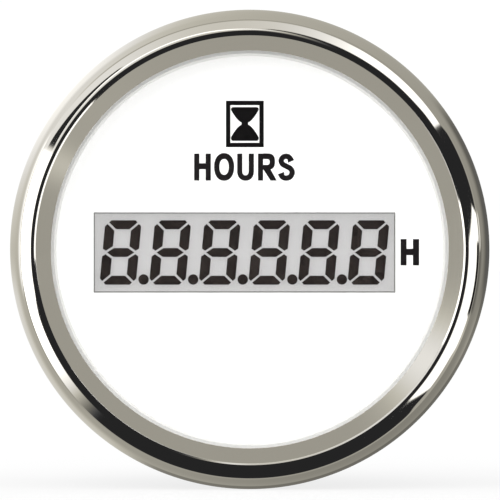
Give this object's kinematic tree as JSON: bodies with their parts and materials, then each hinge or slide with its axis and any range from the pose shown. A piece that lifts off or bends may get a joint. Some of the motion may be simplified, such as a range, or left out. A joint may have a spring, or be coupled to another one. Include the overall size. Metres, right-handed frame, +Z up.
{
  "type": "hour meter",
  "caption": "Round panel-mounted hour meter with a polished rolled bezel, white dial, slanted-digit LCD window, black barrel and a rear clamp bracket on studs.",
  "frame": {"origin": "on the barrel axis, in the panel plane at the rear face of the panel gasket", "axes": "dial faces -Y, barrel and studs run along +Y, +Z is up as the digits read, +X is right seen from the front"},
  "size_m": [0.062, 0.061, 0.062],
  "materials": {
    "polished_steel": "mirror polished stainless sheet",
    "soft_rubber": "matt black rubber sheet",
    "clear_lens": "clear and flat",
    "white_plastic": "satin moulded",
    "white_print": "matt printed",
    "display_film": "clear grey film",
    "display_glass": "clear sheet glass",
    "display_seal": "matt",
    "display_ink": "dark when lit",
    "reflector_film": "silvery grey film",
    "clear_guide": "clear with a frosted rear",
    "strip_rubber": "banded silicone",
    "board_laminate": "green lacquer",
    "lamp_plastic": "clear resin",
    "chip_plastic": "matt moulded resin",
    "can_metal": "bright can",
    "zinc_steel": "zinc plated",
    "black_plastic": "fine moulded grain",
    "tinned_brass": "tin plated",
    "plated_brass": "nickel plated"
  },
  "bodies": {
    "meter": {"bezel": "polished_steel", "lens_gasket": "soft_rubber", "lens": "clear_lens", "dial_ring": "white_plastic", "dial": "white_print", "lcd_front_film": "display_film", "lcd_front_glass": "display_glass", "lcd_seal": "display_seal", "lcd_segments": "display_ink", "lcd_rear_glass": "display_glass", "lcd_rear_film": "reflector_film", "light_guide": "clear_guide", "lcd_holder": "white_plastic", "contact_strips": "strip_rubber", "circuit_board": "board_laminate", "backlight_lamps": "lamp_plastic", "controller": "chip_plastic", "memory_chip": "chip_plastic", "crystal": "can_metal", "regulator": "chip_plastic", "capacitor": "can_metal", "surge_diode": "chip_plastic", "resistors": "chip_plastic", "board_screws": "zinc_steel", "housing": "black_plastic", "terminal_blades": "tinned_brass", "mounting_studs": "zinc_steel", "lock_nuts": "zinc_steel", "panel_gasket": "soft_rubber"},
    "clamp": {"clamp_bracket": "zinc_steel", "spring_washers": "zinc_steel"},
    "nut_left": {"thumb_nut_left": "plated_brass"},
    "nut_right": {"thumb_nut_right": "plated_brass"}
  },
  "joints": [
    {"name": "clamp_slide", "type": "slide", "parent": "meter", "child": "clamp", "axis": [0, 1, 0], "range_m": [-0.005, 0.005]},
    {"name": "nut_left_spin", "type": "hinge", "parent": "clamp", "child": "nut_left", "pos_m": [-0.016, 0.04, 0], "axis": [0, 1, 0], "range_deg": [-2572, 2572]},
    {"name": "nut_right_spin", "type": "hinge", "parent": "clamp", "child": "nut_right", "pos_m": [0.016, 0.04, 0], "axis": [0, 1, 0], "range_deg": [-2572, 2572]}
  ],
  "couplings": [
    {"joint": "nut_left_spin", "follows": "clamp_slide", "rad_per_m": 8976},
    {"joint": "nut_right_spin", "follows": "clamp_slide", "rad_per_m": 8976}
  ]
}
